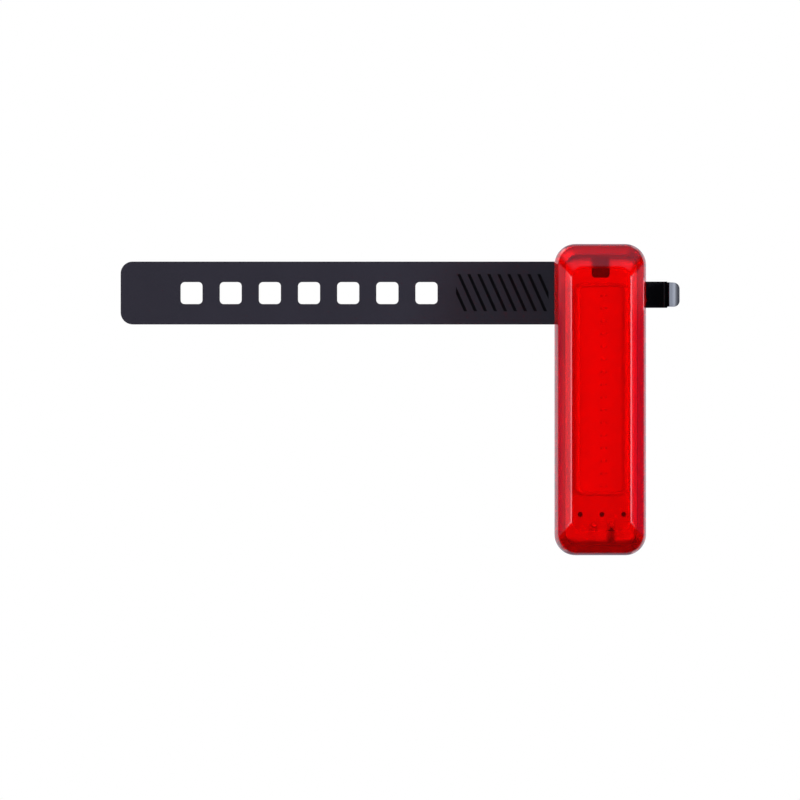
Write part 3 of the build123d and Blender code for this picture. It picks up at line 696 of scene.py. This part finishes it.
# Chip-on-board strip: sixteen bare LED dice bonded in a column, each with two bond pads, inside a
# dispensed bead of white silicone that is filled with clear gel.
low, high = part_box("led_dam")
middle = (low + high) / 2
width = high.x - low.x
height = high.z - low.z
bead = 0.001
bead_corner = 0.002
dam = tower("led_bead", [
    (width - 2 * inset, height - 2 * inset, bead_corner - inset, y) for inset, y in (
        (0, high.y), (0.00003, high.y - 0.00025), (0.00015, high.y - 0.00052), (bead / 2, low.y),
        (bead - 0.00015, high.y - 0.00052), (bead - 0.00003, high.y - 0.00025), (bead, high.y - 0.00003))
], middle, tube=True)
polish(dam, 60)
dam_silicone, place = new_finish("white dam silicone")
waves = place.stretched(1, 1, 0.4).noise(0.002, detail=2.0)
# The bead's two ends are painted darker: painted shade at its corners.
end_shade = abs(place.along("Z") - middle.z).between(height / 2 - 0.0016, height / 2 - 0.001)
plain_surface(place, {
    "Base Color": end_shade.pick(waves.pick((0.59, 0.58, 0.565), (0.66, 0.65, 0.635)), (0.52, 0.51, 0.50)),
    "Roughness": 0.25 + 0.12 * waves,
    "Normal": waves.bump(0.00005),
})
coat(dam, dam_silicone)
fit(dam, "light", "dam_white", "led_dam")

dice = begin("led_dice")
column_x = 0.00069
lowest_die = -0.04651
die_pitch = 0.00304
half_die = 0.000375
die_thickness = 0.0002
to_bond = 0.00063
bonds_at = []
for index in range(16):
    z = lowest_die + index * die_pitch
    add_block((column_x - half_die, high.y - die_thickness, z - half_die),
              (column_x + half_die, high.y, z + half_die))
    bonds_at += [(column_x - to_bond, z - 0.00006), (column_x + to_bond, z)]
end()
ease(dice, 0.00004)
polish(dice)
die_finish, place = new_finish("red LED die")
grain = place.noise(0.0001, detail=2.0)
plain_surface(place, {
    "Base Color": grain.pick((0.62, 0.50, 0.30), (0.74, 0.60, 0.38)),
    "Roughness": 0.3 + 0.1 * grain,
    "Normal": grain.bump(0.000004),
})
coat(dice, die_finish)
fit(dice, "light", "chip_yellow", "led_chips")

bond_radius = 0.00019
bonds = begin("bond_pads")
for x, z in bonds_at:
    spot = (x, high.y - 0.00002, z)
    bpy.ops.mesh.select_all(action="DESELECT")
    bpy.ops.mesh.primitive_uv_sphere_add(segments=12, ring_count=8, radius=bond_radius, location=spot)
    bpy.ops.transform.resize(value=(1, 0.6, 1), center_override=spot)
end()
polish(bonds, 60)
bond_metal, place = new_finish("bond metal")
grain = place.noise(0.0001, detail=2.0)
plain_surface(place, {
    "Base Color": grain.pick((0.20, 0.17, 0.12), (0.32, 0.27, 0.19)),
    "Metallic": 0.4,
    "Roughness": 0.4 + 0.1 * grain,
})
coat(bonds, bond_metal)
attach(bonds, "light")

low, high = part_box("led_gel")
middle = (low + high) / 2
width = high.x - low.x
height = high.z - low.z
gel = tower("led_fill", [
    (width - 0.00002, height - 0.00002, 0.001, high.y + 0.00003),
    (width - 0.00002, height - 0.00002, 0.001, low.y - 0.00008),
    (width - 0.0008, height - 0.0008, 0.0006, low.y),
], middle)
polish(gel)


def clear_solid(place, colour, ior, roughness, normal=None):
    """A refracting solid that lets light through to what is behind it, tinted by its colour."""
    sockets = {"Base Color": rgba(colour), "Roughness": roughness, "IOR": ior, "Transmission Weight": 1.0}
    if normal:
        sockets["Normal"] = normal
    glass = place.node("ShaderNodeBsdfPrincipled", {}, sockets)
    clear = place.node("ShaderNodeBsdfTransparent", {}, {"Color": rgba(colour)})
    shadow = place.node("ShaderNodeLightPath", {}, {}, output="Is Shadow Ray")
    return place.node("ShaderNodeMixShader", {}, {0: shadow, 1: glass, 2: clear})


gel_clear, place = new_finish("clear silicone gel")
swirl = place.noise(0.003, detail=2.0)
surface = clear_solid(place, (0.97, 0.97, 0.96), 1.41, 0.03 + 0.04 * swirl, swirl.bump(0.00003))
place.node("ShaderNodeOutputMaterial", {}, {"Surface": surface})
coat(gel, gel_clear)
fit(gel, "light", "gel_clear", "led_gel")

# Lens seal: a soft silicone cord, pressed into the housing's rebate by the lens's tongue. It keeps
# the rain out.
low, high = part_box("lens_seal")
middle = (low + high) / 2
width = high.x - low.x
height = high.z - low.z
seal_band = 0.0008
seal_round = 0.00015
seal_corner = 0.0041
seal = tower("rim_seal", [
    (width - 2 * inset, height - 2 * inset, seal_corner - inset, y) for inset, y in (
        (seal_round, low.y), (0, low.y + seal_round), (0, high.y - seal_round), (seal_round, high.y),
        (seal_band - seal_round, high.y - 0.00003), (seal_band, high.y - seal_round),
        (seal_band, low.y + seal_round), (seal_band - seal_round, low.y + 0.00003))
], middle, steps=10, tube=True)
polish(seal, 60)
coat(seal, soft_black)
fit(seal, "light", "seal_rubber", "lens_seal")

# Lens: clear red polycarbonate, welded to the housing by the tongue round its rim. Its window is
# polished, the slopes round it are faintly crowned, and a fine frost inside them hides the edges.
low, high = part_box("lens")
middle = (low + high) / 2
rim_width = high.x - low.x
rim_height = high.z - low.z
tongue_depth = 0.0012
wall_depth = 0.0056
rim_y = high.y - tongue_depth
shoulder_y = rim_y - wall_depth
# Each ring of the lens is set in from the sides and from the ends, has a corner radius, all in
# millimetres, and has its place in metres.
hollow = [
    (4.2, 5.95, 2.6, low.y + 0.0016), (2.7, 2.65, 2.7, shoulder_y - 0.00053), (1.7, 1.7, 3.3, rim_y),
]
tongue = [
    (1.7, 1.7, 3.3, high.y - 0.00003), (0.9, 0.9, 4.1, high.y), (0.9, 0.9, 4.1, rim_y),
]
wall_outside = [
    (0.15, 0.15, 4.85, rim_y - 0.00002), (0.04, 0.04, 4.96, rim_y - 0.00006), (0, 0, 5.0, rim_y - 0.00018),
    (0.15, 0.12, 4.9, rim_y - 0.0018), (0.38, 0.32, 4.75, rim_y - 0.0036), (0.72, 0.6, 4.6, rim_y - 0.0053),
    (0.83, 0.75, 4.5, shoulder_y + 0.00005),
]
slope = [
    (0.93, 0.87, 4.4, shoulder_y - 0.00005), (1.45, 1.81, 3.95, low.y + 0.00187),
    (2.0, 2.71, 3.7, low.y + 0.00139), (2.8, 3.95, 3.4, low.y + 0.000765),
    (3.67, 5.16, 3.25, low.y + 0.00019),
]
window_edge = [
    (3.8, 5.35, 3.2, low.y + 0.00012), (3.95, 5.55, 3.15, low.y + 0.00006),
    (4.09, 5.73, 3.1, low.y + 0.00002), (4.3, 5.95, 3.0, low.y),
]
lens = tower("lens_cover", [
    (rim_width - side * 0.002, rim_height - end_in * 0.002, radius * 0.001, y)
    for side, end_in, radius, y in hollow + tongue + wall_outside + slope + window_edge
], middle, steps=12)
polish(lens, 50)
frosting = lens.data.attributes.new("frosting", "FLOAT", "FACE")
frost_x = 0.0069
frost_z = 0.0315
rim_share = 0.0016
for face in lens.data.polygons:
    aside = abs(face.center.x)
    away = abs(face.center.z - middle.z)
    round_window = aside > frost_x or away > frost_z
    within = aside < rim_width / 2 - rim_share and away < rim_height / 2 - rim_share
    frosting.data[face.index].value = float(round_window and within and face.normal.y > -0.3)

lens_red, place = new_finish("clear red polycarbonate")
frosted = place.node("ShaderNodeAttribute", {"attribute_name": "frosting"}, {}, output="Fac")
surface = clear_solid(place, (0.9, 0.0, 0.0), 1.58, 0.02 + 0.4 * frosted)
haze = place.node("ShaderNodeBsdfDiffuse", {}, {"Color": (0.9, 0.0, 0.0, 1.0)})
border = 0.005
past_side = place.math("MAXIMUM", abs(place.along("X")) - (rim_width / 2 - border), 0.0)
past_end = place.math("MAXIMUM", abs(place.along("Z") - middle.z) - (rim_height / 2 - border), 0.0)
outset = place.math("SQRT", past_side * past_side + past_end * past_end)
endwards = place.math("DIVIDE", past_end, outset)
side_haze = place.node("ShaderNodeValToRGB", {"stops": [
    (0.42, (0.0, 0.0, 0.0)), (0.53, (0.15, 0.15, 0.15)), (0.60, (0.17, 0.17, 0.17)),
    (0.68, (0.12, 0.12, 0.12)), (0.75, (0.03, 0.03, 0.03)), (0.81, (0.0, 0.0, 0.0)),
]}, {0: outset * (1 / border)})
end_haze = 0.06 * outset.between(0.0006, 0.0026)
frost = 0.042 - 0.014 * outset.between(0.0008, 0.0014)
frost = frost + side_haze * (1 - endwards.between(0.1, 0.45)) + end_haze * endwards.between(0.85, 0.98)
surface = place.node("ShaderNodeMixShader", {}, {0: frost, 1: surface, 2: haze})
place.node("ShaderNodeOutputMaterial", {}, {"Surface": surface})
coat(lens, lens_red)
fit(lens, "light", "lens_red", "lens")

# Push button: soft silicone that seals the hole in the top end. Its flange sits behind the wall,
# and its face is faintly dished for a fingertip.
low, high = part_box("button")
middle = (low + high) / 2
flange_top = low.z + 0.00075
depth = high.y - low.y
button = tower("power_button", [
    (high.x - low.x - 2 * inward, depth - 2 * inward, depth / 2 - inward - 0.00001, z) for inward, z in (
        (0.0001, low.z), (0, low.z + 0.0001), (0, flange_top - 0.0001), (0.0001, flange_top),
        (0.0006, flange_top + 0.00003), (0.0006, high.z - 0.0004), (0.00065, high.z - 0.0002),
        (0.00077, high.z - 0.00005), (0.001, high.z), (0.0013, high.z - 0.00002), (0.0016, high.z - 0.0001))
], middle, steps=12, flat=True)
polish(button, 60)
coat(button, soft_black)
fit(button, "button", "button_rubber", "button")

# Port cover: a rubber-faced door over the charging socket. It snaps into two side holes by the
# ends of its hinge rod, and a plug on its back seals the mouth.
low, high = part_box("port_cover")
plate_thickness = 0.0007
half_plate = 0.0057
plate_round = 0.0012
stub_radius = 0.0003
half_plug = 0.0039
plug_front = -0.01175
plug_back = -0.00885
half_notch = 0.002
notch_inset = 0.0007
notch_width = 0.0007
notch_depth = 0.00035
knuckle_radius = plate_thickness / 2
hinge_y = high.y - knuckle_radius
hinge_z = low.z + knuckle_radius
cover = begin("port_door")
add_block((-half_plate, low.y, low.z), (half_plate, hinge_y, low.z + plate_thickness))
choose("EDGE", lambda e: all(v.co.y < low.y + 0.001 for v in e.verts) and
       abs(e.verts[0].co.z - e.verts[1].co.z) > 0.0005)
bpy.ops.mesh.bevel(offset=plate_round, segments=8, affect="EDGES")
end()
knuckle = begin("port_knuckle")
add_rod(knuckle_radius, (-half_plate, hinge_y, hinge_z), (half_plate, hinge_y, hinge_z), steps=24)
end()
combine(cover, knuckle, "UNION")
stubs = begin("port_stubs")
add_rod(stub_radius, (low.x, hinge_y, hinge_z), (high.x, hinge_y, hinge_z), steps=24)
end()
combine(cover, stubs, "UNION")
plug = begin("port_plug")
add_block((-half_plug, plug_front, low.z + 0.0005), (half_plug, plug_back, high.z))
end()
combine(cover, plug, "UNION")
notch = begin("port_notch")
add_block((-half_notch, low.y + notch_inset, low.z - 0.001),
          (half_notch, low.y + notch_inset + notch_width, low.z + notch_depth))
end()
combine(cover, notch, "DIFFERENCE")
ease(cover, 0.00012, segments=2, angle=50)
polish(cover)
coat(cover, soft_black)
fit(cover, "port_cover", "button_rubber", "port_cover")

# Studio: a pale floor well below the light, a soft box on each side and one behind, and pale walls
# that show in the gloss. A curved lamp cloth, seen only in the gloss, draws the band on the hook.
bpy.ops.object.select_all(action="DESELECT")
bpy.ops.mesh.primitive_plane_add(size=12, location=(0, 0, -0.8))
floor = bpy.context.object
floor.name = "floor"
floor_finish, place = new_finish("pale floor")
sweep = place.noise(0.4)
plain_surface(place, {
    "Base Color": sweep.pick((0.3, 0.3, 0.3), (0.32, 0.32, 0.32)),
    "Roughness": 0.8,
    "Emission Color": sweep.pick((0.80, 0.80, 0.80), (0.84, 0.84, 0.84)),
    "Emission Strength": 0.9,
})
coat(floor, floor_finish)
floor.visible_diffuse = False
floor.visible_glossy = False
floor.visible_transmission = False

world = bpy.data.worlds.new("studio")
bpy.context.scene.world = world
world.use_nodes = True
world.node_tree.nodes.clear()
direction = Tone(world.node_tree, world.node_tree.nodes.new("ShaderNodeTexCoord").outputs["Generated"])
sideways = direction.along("X")
forward = 0 - direction.along("Y")
upward = direction.along("Z")
brightest = 5.0


def wall(stops):
    """The brightness of a studio wall by the cosine of the angle from the camera's side."""
    ramp = [((cosine + 1) / 2, [value / brightest for value in colour]) for cosine, colour in stops]
    return direction.node("ShaderNodeValToRGB", {"stops": ramp}, {0: 0.5 + 0.5 * forward})


def grey(value, blue=1.25):
    """A cool grey: one brightness, with its blue raised by a factor."""
    return (value, value, value * blue)


backdrop = [(-1.0, grey(0.65, 1.1)), (-0.93, grey(0.5, 1.1)), (-0.87, grey(0.6, 1.1)), (-0.80, grey(0.1))]
strip_light = [(0.46, grey(3.5, 1.15)), (0.82, grey(3.5, 1.15)), (0.87, grey(0.1)), (1.0, grey(0.02))]
left_wall = wall(backdrop + [
    (-0.14, grey(0.08, 4.0)), (0.03, grey(0.09, 3.5)), (0.14, grey(0.22, 2.0)), (0.26, grey(0.5, 1.3)),
    (0.38, grey(0.85, 1.3)), (0.43, grey(0.95, 1.2)),
] + strip_light)
right_wall = wall(backdrop + [
    (-0.14, grey(0.07, 4.0)), (0.30, grey(0.08, 3.0)), (0.37, grey(0.3, 1.6)), (0.42, grey(0.6, 1.3)),
] + strip_light)
back_light = [
    (-0.76, grey(0.55)), (-0.45, grey(0.4)), (-0.38, grey(0.05)), (0.0, grey(0.03)), (1.0, grey(0.02)),
]
round_about = wall([(-1.0, grey(0.28)), (-0.93, grey(0.21)), (-0.84, grey(0.1))] + back_light)
ceiling = wall([(-0.3, grey(0.2)), (0.4, grey(0.4, 1.5)), (0.75, grey(0.45, 1.5)), (0.9, grey(0.02))])
high_wall = wall(backdrop + [
    (-0.3, grey(0.45, 1.5)), (0.3, grey(0.6, 1.4)), (0.43, grey(1.3, 1.2)),
] + strip_light)
corner_wall = wall(backdrop + back_light)
sides = sideways.between(-0.1, 0.1).pick(left_wall, right_wall)
sides = (upward.between(0.012, 0.021) * (1 - upward.between(0.03, 0.08))).pick(sides, high_wall)
corner = (abs(sideways) - 0.4 * abs(upward)).between(0.0, 0.04)
panel = 1 - abs(upward).between(0.08, 0.2)
base = panel.pick(corner.pick(round_about, corner_wall), sides)
base = upward.between(0.35, 0.6).pick(base, ceiling)
shown = direction.node("ShaderNodeLightPath", {}, {}, output="Is Camera Ray")
studio = direction.node("ShaderNodeBackground", {}, {"Color": base, "Strength": brightest})
white = direction.node("ShaderNodeBackground", {}, {"Color": (1.0, 1.0, 1.0, 1.0), "Strength": 1.0})
backing = direction.node("ShaderNodeMixShader", {}, {0: shown, 1: studio, 2: white})
direction.node("ShaderNodeOutputWorld", {}, {"Surface": backing})


def softbox(name, place_at, aim, width, height, power, colour):
    """A rectangular lamp that faces a point and doesn't show in gloss."""
    light = bpy.data.lights.new(name, "AREA")
    light.shape = "RECTANGLE"
    light.size = width
    light.size_y = height
    light.energy = power
    light.color = colour
    lamp = bpy.data.objects.new(name, light)
    bpy.context.scene.collection.objects.link(lamp)
    lamp.location = place_at
    lamp.rotation_euler = (Vector(aim) - Vector(place_at)).to_track_quat("-Z", "Y").to_euler()
    lamp.visible_glossy = False


aim = (-0.03, 0, -0.02)
softbox("key_left", (-0.75, -0.75, 0.15), aim, 0.5, 0.6, 7.6, (1.0, 0.99, 0.97))
softbox("key_right", (0.9, -0.58, 0.1), aim, 0.18, 0.5, 10.8, (0.95, 0.93, 1.0))
softbox("back_left", (-0.5, 0.95, 0.55), aim, 0.5, 0.5, 9.0, (1.0, 1.0, 1.0))

lip_x = 0.018
lip_y = -0.005
band_radius = 0.25
band = begin("hook_band")
bpy.ops.mesh.primitive_cylinder_add(vertices=72, radius=band_radius, depth=0.009, end_fill_type="NOTHING",
                                    location=(lip_x, lip_y, 0.004))
choose("FACE", lambda f: not 84 < math.degrees(math.atan2(
    f.calc_center_median().x - lip_x, lip_y - f.calc_center_median().y)) < 162)
bpy.ops.mesh.delete(type="FACE")
end()
band_light, place = new_finish("lamp cloth")
backwards = (place.along("Y") - lip_y) * (1 / band_radius)
glow = place.node("ShaderNodeValToRGB", {"stops": [
    (0.45, (0.16, 0.17, 0.20)), (0.68, (0.14, 0.15, 0.18)), (0.71, (0.23, 0.25, 0.3)),
    (0.745, (0.43, 0.46, 0.54)), (0.785, (0.54, 0.58, 0.69)), (0.825, (0.35, 0.38, 0.46)),
    (0.87, (0.21, 0.23, 0.28)), (0.94, (0.12, 0.13, 0.16)),
]}, {0: 0.5 + 0.5 * backwards})
cloth = place.node("ShaderNodeEmission", {}, {"Color": glow, "Strength": 6.5})
place.node("ShaderNodeOutputMaterial", {}, {"Surface": cloth})
coat(band, band_light)
for way in ("camera", "diffuse", "transmission", "shadow", "volume_scatter"):
    setattr(band, "visible_" + way, False)

# Camera: a long lens, straight in front of the light, as far off as the photograph's.
camera_data = bpy.data.cameras.new("camera")
camera_data.lens = 281.25
camera_data.sensor_width = 36.0
camera_data.clip_end = 20.0
camera = bpy.data.objects.new("camera", camera_data)
bpy.context.scene.collection.objects.link(camera)
camera.location = (-0.04806, -1.5155, -0.02589)
camera.rotation_euler = (math.pi / 2, 0, 0)
bpy.context.scene.camera = camera
bpy.context.scene.view_settings.view_transform = "Standard"
